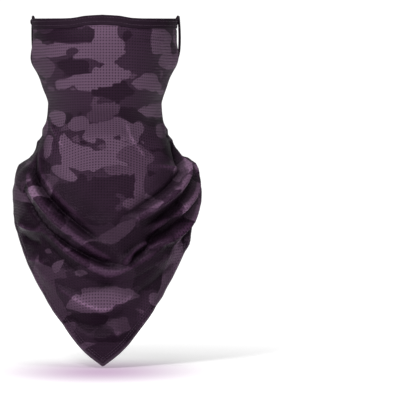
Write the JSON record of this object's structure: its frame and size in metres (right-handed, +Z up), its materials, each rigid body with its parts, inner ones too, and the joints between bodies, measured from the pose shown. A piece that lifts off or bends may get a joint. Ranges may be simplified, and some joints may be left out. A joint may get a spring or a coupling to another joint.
{
  "type": "neck gaiter face mask",
  "caption": "Ear-loop face mask and neck gaiter in camo mesh knit, a face tube that opens into a pointed bib, with bound edges.",
  "frame": {"origin": "where the middle of the top edge rests on the wearer's nose bridge", "axes": "+X to the wearer's left, +Y to the back of the head, +Z up"},
  "size_m": [0.2, 0.2186, 0.3689],
  "materials": {
    "camo_mesh_knit": "printed perforated polyester knit in four dusky purple tones, slight sheen",
    "binding_tape": "matt folded knit tape, near-black plum",
    "elastic": "flat covered elastic, matt",
    "sewing_thread": "spun polyester thread, dull plum"
  },
  "bodies": {
    "mask": {"fabric_panel": "camo_mesh_knit", "turned_hem": "camo_mesh_knit", "top_binding": "binding_tape", "nape_binding": "binding_tape", "top_needle_threads": "sewing_thread", "top_looper_thread": "sewing_thread", "nape_needle_threads": "sewing_thread", "nape_looper_thread": "sewing_thread", "hem_needle_threads": "sewing_thread", "hem_looper_thread": "sewing_thread", "back_seam_outer_thread": "sewing_thread", "back_seam_inner_thread": "sewing_thread", "left_top_bartack": "sewing_thread", "right_top_bartack": "sewing_thread", "left_lower_bartack": "sewing_thread", "right_lower_bartack": "sewing_thread"},
    "left_ear_loop": {"left_ear_strap": "binding_tape", "left_ear_elastic": "elastic", "left_strap_stitching": "sewing_thread"},
    "right_ear_loop": {"right_ear_strap": "binding_tape", "right_ear_elastic": "elastic", "right_strap_stitching": "sewing_thread"}
  },
  "joints": [
    {"name": "left_ear_loop_hinge", "type": "hinge", "parent": "mask", "child": "left_ear_loop", "pos_m": [0.0764, 0.1182, -0.0046], "axis": [-0.121, 0.4875, -0.8647], "range_deg": [-60, 120], "stiffness_Nm_per_rad": 0.006},
    {"name": "right_ear_loop_hinge", "type": "hinge", "parent": "mask", "child": "right_ear_loop", "pos_m": [-0.0764, 0.1182, -0.0046], "axis": [-0.121, -0.4875, 0.8647], "range_deg": [-60, 120], "stiffness_Nm_per_rad": 0.006}
  ]
}
